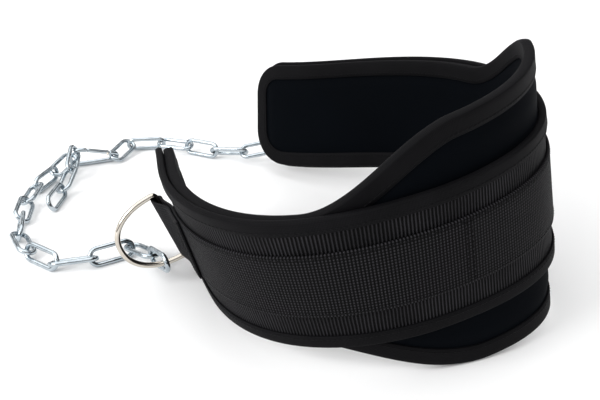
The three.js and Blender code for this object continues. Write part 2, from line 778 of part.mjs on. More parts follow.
// The hook lies on its closed side, its gate up
function buildHook() {
  const hook = new THREE.Group();
  hook.add(named('spring_hook', hookGeometry(), ZINC));
  hook.add(named('hook_gate', gateGeometry(), ZINC));
  const { wide, eye, taper } = hookOutline();
  const heading = radians(HOOK_MIDDLE.heading);
  const run = new THREE.Vector3(Math.cos(heading), Math.sin(heading), 0);
  const rise = rolledWidth(run, HOOK_ROLL);
  const along = run.clone().multiplyScalar(Math.cos(taper)).addScaledVector(rise, -Math.sin(taper));
  const across = run.clone().multiplyScalar(Math.sin(taper)).addScaledVector(rise, Math.cos(taper));
  hook.quaternion.setFromRotationMatrix(
    new THREE.Matrix4().makeBasis(along, across, along.clone().cross(across)),
  );
  const closedSide = hookPoint(wide, taper - Math.PI / 2).add(hookPoint(eye, taper - Math.PI / 2));
  const middle = closedSide.multiplyScalar(0.5).applyQuaternion(hook.quaternion);
  const height = HOOK_WIRE / 2 + HOOK_CLEARANCE;
  hook.position.set(HOOK_MIDDLE.x, HOOK_MIDDLE.y, height).sub(middle);
  hook.updateMatrixWorld(true);
  const hold = (end, degrees, away) => {
    const angle = away + radians(degrees);
    const point = hookPoint(end, angle).applyMatrix4(hook.matrixWorld);
    const tangent = new THREE.Vector3(-Math.sin(angle), Math.cos(angle), 0);
    tangent.applyQuaternion(hook.quaternion);
    return { point, tangent, wire: HOOK_WIRE };
  };
  return {
    hook,
    nearHold: hold(wide, NEAR_STRAND_PLACE, Math.PI),
    tailHold: hold(wide, TAIL_PLACE, Math.PI),
    eyeHold: hold(eye, 0, 0),
  };
}

// The belt with its rings, leaned and set on the floor
function buildBelt() {
  const belt = new THREE.Group();
  const nearAxes = ringAxes(RING_INSET, NEAR_RING, 1);
  const farAxes = ringAxes(BELT_LENGTH - RING_INSET, FAR_RING, 1);
  belt.add(named('pad', padGeometry(), NEOPRENE));
  belt.add(named('pad_binding', bindingGeometry(padTop, padBottom, 0, HALF_PAD_RIM, PAD_BINDING_WIDTH), BINDING));
  belt.add(named('outer_band', bandGeometry(), WEBBING));
  belt.add(named(
    'band_binding',
    bindingGeometry(bandTop, bandBottom, BAND_LEVEL, BAND_THICKNESS / 2, BAND_BINDING_WIDTH),
    BINDING,
  ));
  belt.add(named('strap', strapGeometry(), STRAPPING));
  belt.add(named('d_ring_near', ringGeometry(nearAxes), NICKEL));
  belt.add(named('d_ring_far', ringGeometry(farAxes), NICKEL));
  const turn = leanTurn(restingLean());
  belt.quaternion.copy(turn);
  belt.position.z = -lowestPoint(turn, 0, 1);
  belt.updateMatrixWorld(true);
  const hold = (axes, ring) => {
    const place = ringHold(axes, ring);
    place.point.applyMatrix4(belt.matrixWorld);
    place.tangent.applyQuaternion(turn);
    return place;
  };
  return { belt, nearHold: hold(nearAxes, NEAR_RING), farHold: hold(farAxes, FAR_RING) };
}

// The whole part, its origin under the middle of its bounding box
function buildModel() {
  const parts = new THREE.Group();
  const { belt, nearHold, farHold } = buildBelt();
  const hookParts = buildHook();
  parts.add(belt, hookParts.hook);
  parts.add(...strand(NEAR_STRAND, NEAR_ROUTE, nearHold, hookParts.nearHold));
  parts.add(...strand(FAR_STRAND, FAR_ROUTE, hookParts.eyeHold, farHold));
  parts.add(...strand(TAIL_STRAND, TAIL_ROUTE, hookParts.tailHold, null));
  parts.updateMatrixWorld(true);
  const box = new THREE.Box3().setFromObject(parts, true);
  const centre = box.getCenter(new THREE.Vector3());
  parts.position.set(-centre.x, -centre.y, -box.min.z);
  const model = new THREE.Group();
  model.add(parts);
  return model;
}

export default buildModel();
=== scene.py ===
"""Dip belt: its cloth, stitching, rings, chain and hook, with light and camera."""
import math

import bpy
import numpy as np
from mathutils import Matrix, Vector


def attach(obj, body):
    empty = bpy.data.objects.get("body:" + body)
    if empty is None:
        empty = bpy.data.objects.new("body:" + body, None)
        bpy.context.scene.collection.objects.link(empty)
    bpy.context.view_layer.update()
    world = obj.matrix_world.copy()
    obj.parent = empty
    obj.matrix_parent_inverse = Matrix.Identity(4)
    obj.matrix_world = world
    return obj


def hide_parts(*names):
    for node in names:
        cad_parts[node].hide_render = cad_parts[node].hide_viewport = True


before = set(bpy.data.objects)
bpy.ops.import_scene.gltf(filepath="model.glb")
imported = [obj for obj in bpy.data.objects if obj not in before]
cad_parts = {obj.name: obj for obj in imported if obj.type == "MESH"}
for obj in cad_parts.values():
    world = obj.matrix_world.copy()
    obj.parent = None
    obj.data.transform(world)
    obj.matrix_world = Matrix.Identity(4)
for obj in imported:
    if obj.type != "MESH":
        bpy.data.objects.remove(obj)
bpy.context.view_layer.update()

# Belt sizes in millimetres
MM = 0.001
BELT_LENGTH = 792
BAND_WIDTH = 100
PAD_END_WIDTH = 95.2
LUMBAR_RISE = 42.2
LUMBAR_DROP = 45.9
TOP_CORNER_RADIUS = 28
BOTTOM_CORNER_RADIUS = 32
PAD_THICKNESS = 8
PAD_RIM_THICKNESS = 5
BAND_THICKNESS = 2.4
STRAP_WIDTH = 50
STRAP_RISE = 1.3
STRAP_THICKNESS = 2
PAD_BINDING_WIDTH = 12
BAND_BINDING_WIDTH = 9
BINDING_TAPE = 1.2
RIM_BULGE = 1.6
LAYER_GAP = 0.4
PIECE_GAP = 0.3
INNER_CROWN = 0.7

# Plan and lean of the belt: shares of its length, with the turn and the outward lean there in degrees
START_HEADING = -69.3
BENDS = {"at": [0, .0833, .1667, .25, .3333, .4167, .5, .5833, .6667, .75, .8333, .9167, 1],
         "turn": [-220, 89, 287, 490, 298, 236, 562, 170, 262, 317, 162, -144, -410]}
FLARES = {"at": [0, .125, .25, .375, .5, .625, .75, .875, 1],
          "lean": [3, 7.2, 8.8, 4.9, -.6, 5.8, 12, 15.9, 14.8]}
PLAN_STEPS = 396
LUMBAR_CENTRE = 0.4947
LUMBAR_TOP = {"reach": LUMBAR_RISE, "flat": 0.09, "fallen": 0.216}
LUMBAR_BOTTOM = {"reach": LUMBAR_DROP, "flat": 0.074, "fallen": 0.252}
LEAN_LEFT = 10.651
LEAN_BACK = 1.9
BELT_PLACE = (-63.760, -8.137, 49.584)
ORIGIN_SHIFT = (-63.760, -8.137, 0.276)

# Rings, links and hook
RING_WIRE = 4.5
RING_DEPTH = 42.6
RING_CORNER = 2.6
RING_SIDE_EASE = 0.7
RING_SQUARENESS = 2.2
RING_INSET = 57
RING_LIFT = 16.5
LOOP_RETURN = 48
LOOP_EASE = 26
NEAR_RING = {"tip": 7, "swing": 4.3}
FAR_RING = {"tip": 4, "swing": 60}
LINK_WIRE = 4.1
LINK_INSIDE = 33
LINK_WIDTH = 17.5
LINK_COUNT = 21
HOOK_WIRE = 4.6
HOOK_LENGTH = 52
HOOK_WIDTH = 26
HOOK_EYE_WIDTH = 15
HOOK_ROLL = 117
HOOK_CLEARANCE = 0.1
HOOK_MIDDLE = {"x": -111, "y": 167, "heading": 20.7}
GATE_WIRE = 4
GATE_PIVOT_SHARE = 0.2
GATE_NOSE_SHARE = 0.86

# Stitching
STITCH = {"pitch": 3.5, "length": 2.5, "width": 0.8, "proud": 0.34, "round": 5,
          "stations": (-1, -0.75, 0, 0.75, 1), "fatness": (0.25, 0.85, 1, 0.85, 0.25)}
COURSE_STEP = 0.5
STITCH_INSET = 2.6
STITCH_LIFT = 0.1
STRAP_SEAM = 22.4
SEAM_START = 8
EASE_SEAM = 4
END_SEAMS = (47, 43.5)
MID_SEAMS = (318, 322)

# Soft forms: the cushion's crown and ripples, the folded tape, the strap's edge
PAD_SHOULDER = 9
CROWN_REACH = 34
SLOW_RIPPLE = {"height": 0.3, "along": (31, -67), "across": (23, 27)}
QUICK_RIPPLE = {"height": 0.12, "along": (11.3, 43), "across": (-17, 9.7)}
OUTER_RIPPLE = {"share": 0.12, "most": 0.2}
PAD_GIRTH = 300
TAPE_SOFTNESS = 0.45
TAPE_SWELL = {"height": 0.12, "at": (0.75, 0.5, 0.25)}
RIM_ROUNDNESS = 0.8
STRAP_EDGE = {"flat_inset": 0.6, "side_inset": 0.15, "side_height": 0.6}
LOOP_JOIN = 3

# Fine forms of the metal
WELD = {"half_length": 1.6, "swell": 0.13}
HOOK_TIP = {"fine_length": 1.2, "rounding": 0.6, "narrow": 0.72}
GATE_TIP = 0.02
RIVET = {"radius": 1.25, "reach": 2.35, "dome": 0.45, "shoulder": 0.8, "shoulder_width": 0.7, "tip": 0.05}

# Mesh steps
CLOTH_STEPS = {"along": 230, "corner": 18, "pad_across": 42, "band_across": 15}
TAPE_STEPS = {"along": 240, "rim": 8}
STRAP_STEPS = {"along": 170, "across": 9, "flat": 6, "ease": 12, "turn": 17}
RING_STEPS = {"bow": 90, "corner": 7, "bar": 30, "round": 20}
LINK_STEPS = {"end": 17, "side": 10, "round": 12}
HOOK_STEPS = {"bow": 40, "eye": 26, "run": 150, "tip": 5, "round": 20}
GATE_STEPS = {"end": 8, "run": 14, "round": 18}
SAME_PLACE = 0.01

# Camera, lights and surroundings; powers in watts
CAMERA = {"place": (35.62, -647.84, 366.28), "pitch": 26.85, "lens": 51.3, "sensor": 36}
KEY_LIGHT = {"place": (-1100, -800, 800), "aim": (20, -50, 80), "size": 700, "power": 15}
FILL_LIGHT = {"place": (900, -900, 800), "aim": (50, 0, 80), "size": 800, "power": 1}
FLOOR_REACH = 8000
SKY_SLANT = -0.3
SKY_LOW = (0.02, 0.02, 0.025, 1)
SKY_HIGH = (2, 2, 2, 1)
SKY_BANDS = ((0.26, 0.02), (0.34, 1.5), (0.46, 1.2), (0.54, 0.1), (0.66, 0.1), (0.76, 2.2))

# Looks: dark and light colours, pitches and bump in millimetres, noises as scale and detail
NEOPRENE_LOOK = {"dark": (0.0006, 0.0009, 0.0014), "light": (0.002, 0.0028, 0.0042), "rough": (0.6, 0.8),
                 "knit": (2600, 3), "patches": (14, 3), "patch_share": 0.65, "bump": 0.12, "strength": 0.6,
                 "sockets": {"Specular IOR Level": 0.015, "Sheen Weight": 0.006, "Sheen Roughness": 0.4,
                             "Sheen Tint": (0.75, 0.8, 1, 1)}}
# Binding tape colours: painted shade in the weave's valleys, painted light on its raised threads
BINDING_LOOK = {"dark": (0.0009, 0.0009, 0.0012), "light": (0.0112, 0.0107, 0.0122), "rough": (0.5, 0.72),
                "rib": 0.9, "cross": 1.3, "rib_share": 0.7, "worn": (30, 3), "bump": 0.16, "strength": 0.8,
                "sockets": {"Specular IOR Level": 0.045, "Sheen Weight": 0.01, "Sheen Roughness": 0.35,
                            "Sheen Tint": (0.9, 0.88, 1, 1)}}
# Webbing colours: painted shade in the rib valleys, painted light on the rib crests
WEBBING_LOOK = {"dark": (0.0002, 0.0002, 0.0003), "light": (0.06, 0.058, 0.065), "rough": (0.5, 0.7),
                "rib": 2.3, "thread": 0.8, "rib_share": 0.8, "drift": 0.9, "drifting": (60, 2),
                "worn": (24, 3), "painted_rib_shade_power": 2.4, "bump": 0.8, "strength": 1,
                "sockets": {"Specular IOR Level": 0.05, "Sheen Weight": 0.005, "Sheen Roughness": 0.35,
                            "Sheen Tint": (0.92, 0.88, 1, 1)}}
# Strap colours: painted shade between the thread crossings, painted light on them
STRAPPING_LOOK = {"dark": (0.0002, 0.0002, 0.0003), "light": (0.036, 0.0348, 0.039), "rough": (0.48, 0.68),
                  "along": 2.3, "across": 2.2, "across_share": 0.7, "thread": 0.5, "dot_share": 0.8,
                  "knot_shade_power": 1.7, "worn": (20, 3), "wear": (0.75, 1.15), "bump": 0.6, "strength": 1,
                  "sockets": {"Specular IOR Level": 0.05, "Sheen Weight": 0.006, "Sheen Roughness": 0.35,
                              "Sheen Tint": (0.92, 0.88, 1, 1)}}
THREAD_LOOK = {"dark": (0.0006, 0.0006, 0.0009), "light": (0.0045, 0.0044, 0.005), "rough": 0.5,
               "twist": (2200, 1), "bump": 0.08, "strength": 0.6, "sockets": {"Specular IOR Level": 0.06}}
NICKEL_LOOK = {"dark": (0.46, 0.42, 0.36), "light": (0.66, 0.62, 0.56), "rough": (0.06, 0.18),
               "haze": (90, 4), "grain": (700, 2), "bump": 0.03, "strength": 0.3, "sockets": {"Metallic": 1}}
ZINC_LOOK = {"dark": (0.25, 0.3, 0.34), "light": (0.62, 0.67, 0.7), "rough": (0.1, 0.28),
             "haze": (160, 4), "grain": (900, 2), "bump": 0.04, "strength": 0.4, "sockets": {"Metallic": 1}}
FLOOR_LOOK = {"dark": (0.93, 0.93, 0.935), "light": (0.95, 0.95, 0.95), "rough": 0.9, "tone": (3, 2)}

# Values that follow from the sizes
HALF_BAND = BAND_WIDTH / 2
HALF_PAD_END = PAD_END_WIDTH / 2
HALF_STRAP = STRAP_WIDTH / 2
HALF_PAD = PAD_THICKNESS / 2
HALF_PAD_RIM = PAD_RIM_THICKNESS / 2
BINDING_OFFSET = PIECE_GAP + BINDING_TAPE
BAND_LEVEL = HALF_PAD + LAYER_GAP + BAND_THICKNESS / 2 + BINDING_OFFSET
STRAP_LEVEL = BAND_LEVEL + BAND_THICKNESS / 2 + LAYER_GAP + STRAP_THICKNESS / 2
UPPER_STRAP_LEVEL = STRAP_LEVEL + STRAP_THICKNESS + LAYER_GAP
LOOP_RADIUS = RING_WIRE / 2 + PIECE_GAP + STRAP_THICKNESS / 2
RING_HALF_WIDTH = HALF_STRAP + RING_SIDE_EASE + RING_WIRE / 2
HOOK_WIDE = (HOOK_WIDTH - HOOK_WIRE) / 2
HOOK_EYE = (HOOK_EYE_WIDTH - HOOK_WIRE) / 2
HOOK_EYE_CENTRE = HOOK_LENGTH - HOOK_WIRE - HOOK_EYE
HOOK_TAPER = math.asin((HOOK_WIDE - HOOK_EYE) / (HOOK_EYE_CENTRE - HOOK_WIDE))


# Belt surface
def smooth(value):
    value = np.clip(value, 0, 1)
    return value * value * (3 - 2 * value)


def plan_of_belt():
    step = 1 / PLAN_STEPS
    middles = (np.arange(PLAN_STEPS) + 0.5) * step
    turns = np.radians(np.interp(middles, BENDS["at"], BENDS["turn"])) * step
    heading = math.radians(START_HEADING) + np.concatenate([[0], np.cumsum(turns)])
    course = heading[:-1] + turns / 2
    x = np.concatenate([[0], np.cumsum(np.cos(course))]) * step * BELT_LENGTH
    y = np.concatenate([[0], np.cumsum(np.sin(course))]) * step * BELT_LENGTH
    return heading, x, y


PLAN = plan_of_belt()
PLAN_AT = np.linspace(0, BELT_LENGTH, PLAN_STEPS + 1)
UPRIGHT = Vector((-math.tan(math.radians(LEAN_LEFT)), math.tan(math.radians(LEAN_BACK)), 1))
BELT_TURN = np.array(Vector((0, 0, 1)).rotation_difference(UPRIGHT).to_matrix())


def flare(share):
    at, lean = FLARES["at"], FLARES["lean"]
    value = np.full(np.shape(share), float(lean[0]))
    for i in range(len(at) - 1):
        value = value + (lean[i + 1] - lean[i]) * smooth((share - at[i]) / (at[i + 1] - at[i]))
    return np.radians(value)


def belt_axes(distance):
    """Mid-line point, along, up and outward axes in the belt's own upright frame."""
    inside = np.clip(distance, 0, BELT_LENGTH)
    heading, x, y = (np.interp(inside, PLAN_AT, values) for values in PLAN)
    zero = np.zeros_like(heading)
    along = np.stack([np.cos(heading), np.sin(heading), zero], -1)
    point = np.stack([x, y, zero], -1) + along * (distance - inside)[..., None]
    lean = flare(inside / BELT_LENGTH)[..., None]
    level = np.stack([np.sin(heading), -np.cos(heading), zero], -1)
    rise = np.array([0, 0, 1.0])
    up = rise * np.cos(lean) + level * np.sin(lean)
    out = level * np.cos(lean) - rise * np.sin(lean)
    return point, along, up, out


def settled(points):
    """Belt frame in millimetres to the model's frame in metres."""
    return (points @ BELT_TURN.T + np.array(BELT_PLACE)) * MM


def belt_point(distance, across, level):
    distance, across, level = np.broadcast_arrays(*(np.asarray(v, float) for v in (distance, across, level)))
    point, _, up, out = belt_axes(distance)
    return settled(point + up * across[..., None] + out * level[..., None])


def lumbar(edge, distance):
    away = np.abs(distance / BELT_LENGTH - LUMBAR_CENTRE)
    return edge["reach"] * (1 - smooth((away - edge["flat"]) / (edge["fallen"] - edge["flat"])))


def corner_loss(distance, radius):
    short = np.clip(radius - np.minimum(distance, BELT_LENGTH - distance), 0, radius)
    return radius - np.sqrt(radius ** 2 - short ** 2)


def pad_top(distance):
    return HALF_PAD_END + lumbar(LUMBAR_TOP, distance) - corner_loss(distance, TOP_CORNER_RADIUS)


def pad_bottom(distance):
    return -HALF_PAD_END - lumbar(LUMBAR_BOTTOM, distance) + corner_loss(distance, BOTTOM_CORNER_RADIUS)


def band_top(distance):
    return HALF_BAND - corner_loss(distance, TOP_CORNER_RADIUS)


def band_bottom(distance):
    return corner_loss(distance, BOTTOM_CORNER_RADIUS) - HALF_BAND


def lengthwise(count):
    """Distances along the belt, closer in its rounded ends."""
    turn = np.linspace(0, math.pi / 2, CLOTH_STEPS["corner"], endpoint=False)
    near = BOTTOM_CORNER_RADIUS * (1 - np.cos(turn))
    middle = np.linspace(BOTTOM_CORNER_RADIUS, BELT_LENGTH - BOTTOM_CORNER_RADIUS, count)
    return np.concatenate([near, middle, (BELT_LENGTH - near)[::-1]])


# Meshes
def mesh_object(name, vertices, faces, material, uvs=None, body="belt"):
    mesh = bpy.data.meshes.new(name)
    mesh.from_pydata(np.asarray(vertices).tolist(), [], faces)
    if uvs is not None:
        layer = mesh.uv_layers.new(name="cloth")
        layer.data.foreach_set("uv", np.asarray(uvs, float).ravel())
    mesh.polygons.foreach_set("use_smooth", [True] * len(mesh.polygons))
    mesh.update()
    piece = bpy.data.objects.new(name, mesh)
    bpy.context.collection.objects.link(piece)
    piece.data.materials.append(material)
    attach(piece, body)
    return piece


def swept(name, rows, along, around, material, looped=False, body="belt"):
    """Skins closed sections: rows is (sections, points, 3); along and around are UV coordinates."""
    count, size = rows.shape[:2]
    faces, uvs = [], []
    last = count if looped else count - 1
    for i in range(last):
        j = (i + 1) % count
        for k in range(size):
            n = (k + 1) % size
            faces.append((i * size + k, i * size + n, j * size + n, j * size + k))
            u, w, v, x = along[i], along[i + 1], around[k], around[k + 1]
            uvs += [(u, v), (u, x), (w, x), (w, v)]
    if not looped:
        faces.append(tuple(reversed(range(size))))
        uvs += [(along[0], around[k]) for k in reversed(range(size))]
        faces.append(tuple((count - 1) * size + k for k in range(size)))
        uvs += [(along[-1], around[k]) for k in range(size)]
    return mesh_object(name, rows.reshape(-1, 3), faces, material, uvs, body)


def lengths_along(points, looped=False):
    steps = np.linalg.norm(np.diff(points, axis=0, append=points[:1]), axis=1)
    total = np.concatenate([[0], np.cumsum(steps)])
    return total if looped else total[:-1]


def wire(name, path, normal, diameter, material, sides, looped=False, swell=None, body="belt"):
    """A round wire along a path in one plane; swell multiplies its radius at each point."""
    path = np.asarray(path, float)
    before = np.roll(path, 1, axis=0)
    after = np.roll(path, -1, axis=0)
    if not looped:
        before[0], after[-1] = path[0], path[-1]
    course = after - before
    course /= np.linalg.norm(course, axis=1, keepdims=True)
    normal = np.asarray(normal, float)
    side = np.cross(normal, course)
    side /= np.linalg.norm(side, axis=1, keepdims=True)
    angle = np.arange(sides) / sides * 2 * math.pi
    radius = np.full(len(path), diameter / 2) if swell is None else diameter / 2 * np.asarray(swell)
    rows = (path[:, None] + side[:, None] * (radius[:, None] * np.cos(angle))[..., None]
            + normal * (radius[:, None] * np.sin(angle))[..., None])
    around = np.arange(sides + 1) / sides * math.pi * diameter
    return swept(name, rows[:, ::-1], lengths_along(path, looped), around, material, looped, body=body)


# Material graphs, with the places of the colour sockets of a mix node
MIX_DARK = 6
MIX_LIGHT = 7
MIX_RESULT = 2


class Graph:
    def __init__(self, name):
        self.material = bpy.data.materials.new(name)
        self.material.use_nodes = True
        self.tree = self.material.node_tree
        self.shader = self.tree.nodes["Principled BSDF"]

    def node(self, kind, inputs=None, **settings):
        made = self.tree.nodes.new(kind)
        for key, value in settings.items():
            setattr(made, key, value)
        for key, value in (inputs or {}).items():
            self.feed(made.inputs[key], value)
        return made

    def feed(self, socket, value):
        if isinstance(value, bpy.types.NodeSocket):
            self.tree.links.new(value, socket)
        else:
            socket.default_value = value

    def math(self, operation, first, second=0.0, third=0.0):
        inputs = {0: first, 1: second, 2: third}
        return self.node("ShaderNodeMath", inputs, operation=operation).outputs[0]

    def blend(self, first, second, share):
        """The first value's share and the rest of the second."""
        return self.math("MULTIPLY_ADD", first, share, self.math("MULTIPLY", second, 1 - share))

    def position(self):
        return self.node("ShaderNodeTexCoord").outputs["Object"]

    def noise(self, look, where):
        scale, detail = look
        inputs = {"Scale": scale, "Detail": detail, "Vector": where}
        return self.node("ShaderNodeTexNoise", inputs).outputs["Fac"]

    def cloth_axes(self):
        coordinates = self.node("ShaderNodeUVMap", uv_map="cloth").outputs["UV"]
        split = self.node("ShaderNodeSeparateXYZ", {"Vector": coordinates})
        return split.outputs["X"], split.outputs["Y"], coordinates

    def wave(self, coordinate, pitch):
        turn = self.math("MULTIPLY", coordinate, 2 * math.pi / (pitch * MM))
        return self.math("MULTIPLY_ADD", self.math("SINE", turn), 0.5, 0.5)

    def colour(self, factor, look):
        made = self.node("ShaderNodeMix", {"Factor": factor}, data_type="RGBA")
        self.feed(made.inputs[MIX_DARK], (*look["dark"], 1))
        self.feed(made.inputs[MIX_LIGHT], (*look["light"], 1))
        return made.outputs[MIX_RESULT]

    def range(self, value, ends):
        low, high = ends
        made = self.node("ShaderNodeMapRange", {"Value": value, "To Min": low, "To Max": high})
        return made.outputs["Result"]

    def finish(self, look, colour, roughness, height=None):
        self.feed(self.shader.inputs["Base Color"], colour)
        self.feed(self.shader.inputs["Roughness"], roughness)
        if height is not None:
            inputs = {"Height": height, "Distance": look["bump"] * MM, "Strength": look["strength"]}
            bump = self.node("ShaderNodeBump", inputs)
            self.feed(self.shader.inputs["Normal"], bump.outputs["Normal"])
        for socket, value in look.get("sockets", {}).items():
            self.shader.inputs[socket].default_value = value
        return self.material


def neoprene_cloth():
    look = NEOPRENE_LOOK
    g = Graph("neoprene_cloth")
    where = g.position()
    knit = g.noise(look["knit"], where)
    patches = g.noise(look["patches"], where)
    colour = g.colour(g.blend(patches, knit, look["patch_share"]), look)
    return g.finish(look, colour, g.range(patches, look["rough"]), knit)


def binding_tape():
    look = BINDING_LOOK
    g = Graph("binding_tape")
    u, v, _ = g.cloth_axes()
    weave = g.blend(g.wave(u, look["rib"]), g.wave(v, look["cross"]), look["rib_share"])
    worn = g.noise(look["worn"], g.position())
    # Painted shade: the tape's colour darkens in the valleys of its weave and lightens on the raised
    # threads, times a random wear tone
    colour = g.colour(g.math("MULTIPLY", weave, worn), look)
    return g.finish(look, colour, g.range(worn, look["rough"]), weave)


def ribbed_webbing():
    look = WEBBING_LOOK
    g = Graph("ribbed_webbing")
    u, v, where = g.cloth_axes()
    drift = g.math("MULTIPLY", g.noise(look["drifting"], where), look["drift"] * MM)
    rib = g.wave(g.math("ADD", u, drift), look["rib"])
    height = g.blend(rib, g.wave(v, look["thread"]), look["rib_share"])
    worn = g.noise(look["worn"], g.position())
    # Painted shade: the colour darkens in the valleys between the ribs and lightens on their crests, times a
    # random wear tone
    painted_rib_shade = g.math("POWER", height, look["painted_rib_shade_power"])
    colour = g.colour(g.math("MULTIPLY", painted_rib_shade, worn), look)
    return g.finish(look, colour, g.range(worn, look["rough"]), height)


def woven_strap():
    look = STRAPPING_LOOK
    g = Graph("woven_strap")
    u, v, _ = g.cloth_axes()
    share = look["across_share"]
    across = g.math("MULTIPLY_ADD", g.wave(v, look["across"]), share, 1 - share)
    dots = g.math("MULTIPLY", g.wave(u, look["along"]), across)
    height = g.blend(dots, g.wave(u, look["thread"]), look["dot_share"])
    worn = g.noise(look["worn"], g.position())
    # Painted light and shade: the colour lightens on the raised thread crossings and darkens between them,
    # times a random wear tone
    knot_shade_and_wear = g.math("MULTIPLY", g.math("POWER", dots, look["knot_shade_power"]), g.range(worn, look["wear"]))
    return g.finish(look, g.colour(knot_shade_and_wear, look), g.range(worn, look["rough"]), height)


def stitch_thread():
    look = THREAD_LOOK
    g = Graph("stitch_thread")
    twist = g.noise(look["twist"], g.position())
    return g.finish(look, g.colour(twist, look), look["rough"], twist)


def plated(name, look):
    g = Graph(name)
    where = g.position()
    haze = g.noise(look["haze"], where)
    return g.finish(look, g.colour(haze, look), g.range(haze, look["rough"]), g.noise(look["grain"], where))


def nickel_plate():
    return plated("nickel_plate", NICKEL_LOOK)


def zinc_plate():
    return plated("zinc_plate", ZINC_LOOK)


def pale_floor():
    look = FLOOR_LOOK
    g = Graph("pale_floor")
    return g.finish(look, g.colour(g.noise(look["tone"], g.position()), look), look["rough"])


NEOPRENE = neoprene_cloth()
BINDING = binding_tape()
WEBBING = ribbed_webbing()
STRAPPING = woven_strap()
THREAD = stitch_thread()
NICKEL = nickel_plate()
ZINC = zinc_plate()


# Pad: a crowned cushion with a thin rim under its binding
def ripple(distance, across, wave):
    """Soft unevenness of a stuffed cloth face, in millimetres."""
    pairs = zip(wave["along"], wave["across"])
    first, second = (np.sin(distance / run + across / rise) for run, rise in pairs)
    return wave["height"] * (first * second)


def build_pad():
    s = lengthwise(CLOTH_STEPS["along"])
    top, bottom = pad_top(s), pad_bottom(s)
    share = 0.5 - 0.5 * np.cos(np.linspace(0, math.pi, CLOTH_STEPS["pad_across"]))
    across = bottom[:, None] + (top - bottom)[:, None] * share
    from_end = np.minimum(s, BELT_LENGTH - s)[:, None]
    from_side = np.minimum(across - bottom[:, None], top[:, None] - across)
    past_tape = np.minimum(from_side, from_end) - PAD_BINDING_WIDTH
    shoulder = smooth(past_tape / PAD_SHOULDER)
    crown = smooth(past_tape / CROWN_REACH)
    wave = ripple(s[:, None], across, SLOW_RIPPLE) + ripple(s[:, None], across, QUICK_RIPPLE)
    flat = HALF_PAD_RIM + (HALF_PAD - HALF_PAD_RIM) * shoulder
    outer = flat + np.minimum(OUTER_RIPPLE["share"] * wave * shoulder, OUTER_RIPPLE["most"])
    inner = -(flat + INNER_CROWN * crown + wave * crown)
    front = belt_point(s[:, None], across, outer)
    back = belt_point(s[:, None], across[:, ::-1], inner[:, ::-1])
    rows = np.concatenate([front, back], axis=1)[:, ::-1]
    around = np.linspace(0, 1, rows.shape[1] + 1) * PAD_GIRTH * MM
    piece = swept("pad_cushion", rows, s * MM, around, NEOPRENE)
    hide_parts("pad")


# Bindings: a folded tape with a rounded rim and a row of stitches on each face
def outline(top_edge, bottom_edge):
    """The edge of a layer as a closed loop, with its outward normals."""
    s = lengthwise(TAPE_STEPS["along"])
    loop = np.concatenate([np.stack([s, top_edge(s)], 1), np.stack([s, bottom_edge(s)], 1)[::-1]])
    keep = np.linalg.norm(loop - np.roll(loop, 1, axis=0), axis=1) > SAME_PLACE
    loop = loop[keep]
    course = np.roll(loop, -1, axis=0) - np.roll(loop, 1, axis=0)
    course /= np.linalg.norm(course, axis=1, keepdims=True)
    return loop, np.stack([-course[:, 1], course[:, 0]], 1)


def tape_profile(half_layer, width):
    """Section of the folded tape as distances in from the edge and heights."""
    inside = half_layer + PIECE_GAP
    outside = inside + BINDING_TAPE
    soft = TAPE_SOFTNESS
    swell = [(width * share, outside + TAPE_SWELL["height"] * math.sin(math.pi * share))
             for share in TAPE_SWELL["at"]]
    points = [(width, outside - soft), (width - soft, outside)] + swell
    last = TAPE_STEPS["rim"]
    for i in range(last + 1):
        angle = math.pi / 2 - math.pi * i / last
        bulge = 0 if i in (0, last) else RIM_BULGE * math.cos(angle) ** RIM_ROUNDNESS
        points.append((-bulge, outside * math.sin(angle)))
    points += [(inset, -height) for inset, height in reversed(swell)]
    points += [(width - soft, -outside), (width, soft - outside)]
    points += [(width, -inside), (-PIECE_GAP, -inside), (-PIECE_GAP, inside), (width, inside)]
    return np.array(points)


def build_binding(name, node, edges, level, half_layer, width):
    loop, normal = outline(*edges)
    profile = tape_profile(half_layer, width)
    place = loop[:, None] - normal[:, None] * profile[None, :, :1]
    rows = belt_point(place[..., 0], place[..., 1], level + profile[None, :, 1])
    around = lengths_along(profile[::-1], True)
    along = lengths_along(rows[:, 1], True)
    piece = swept(name, rows[:, ::-1], along, around * MM, BINDING, looped=True)
    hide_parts(node)
    track = loop - normal * (width - STITCH_INSET)
    height = half_layer + BINDING_OFFSET + STITCH_LIFT
    for side, word in ((1, "outer"), (-1, "inner")):
        stitch_row(f"{name}_stitches_{word}", track, level + side * height, side, closed=True)


def resampled(track, closed):
    points = np.concatenate([track, track[:1]]) if closed else track
    steps = np.linalg.norm(np.diff(points, axis=0), axis=1)
    total = np.concatenate([[0], np.cumsum(steps)])
    count = max(int(total[-1] / STITCH["pitch"]), 1)
    at = (np.arange(count) + 0.5) * total[-1] / count
    centre = np.stack([np.interp(at, total, points[:, k]) for k in range(2)], 1)
    ahead = np.stack([np.interp(at + COURSE_STEP, total, points[:, k]) for k in range(2)], 1)
    course = ahead - centre
    return centre, course / np.linalg.norm(course, axis=1, keepdims=True)


def stitch_row(name, track, level, side, closed=False):
    """Raised threads along a track of belt distances and heights, at a level on one face."""
    centre, course = resampled(np.asarray(track, float), closed)
    lengths = np.array(STITCH["stations"]) * STITCH["length"] / 2
    fatness = np.array(STITCH["fatness"])
    angles = np.linspace(0, math.pi, STITCH["round"])
    across = np.cos(angles) * STITCH["width"] / 2
    proud = np.sin(angles) * STITCH["proud"]
    normal = np.stack([-course[:, 1], course[:, 0]], 1)
    spot = (centre[:, None, None] + course[:, None, None] * lengths[None, :, None, None]
            + normal[:, None, None] * (fatness[:, None] * across)[None, ..., None])
    rows = belt_point(spot[..., 0], spot[..., 1], level + side * fatness[:, None] * proud)
    size = len(angles)
    block = len(lengths) * size
    faces = []
    for n in range(len(centre)):
        for i in range(len(lengths) - 1):
            for k in range(size - 1):
                a = n * block + i * size + k
                quad = (a, a + 1, a + size + 1, a + size)
                faces.append(quad if side > 0 else quad[::-1])
    piece = mesh_object(name, rows.reshape(-1, 3), faces, THREAD)


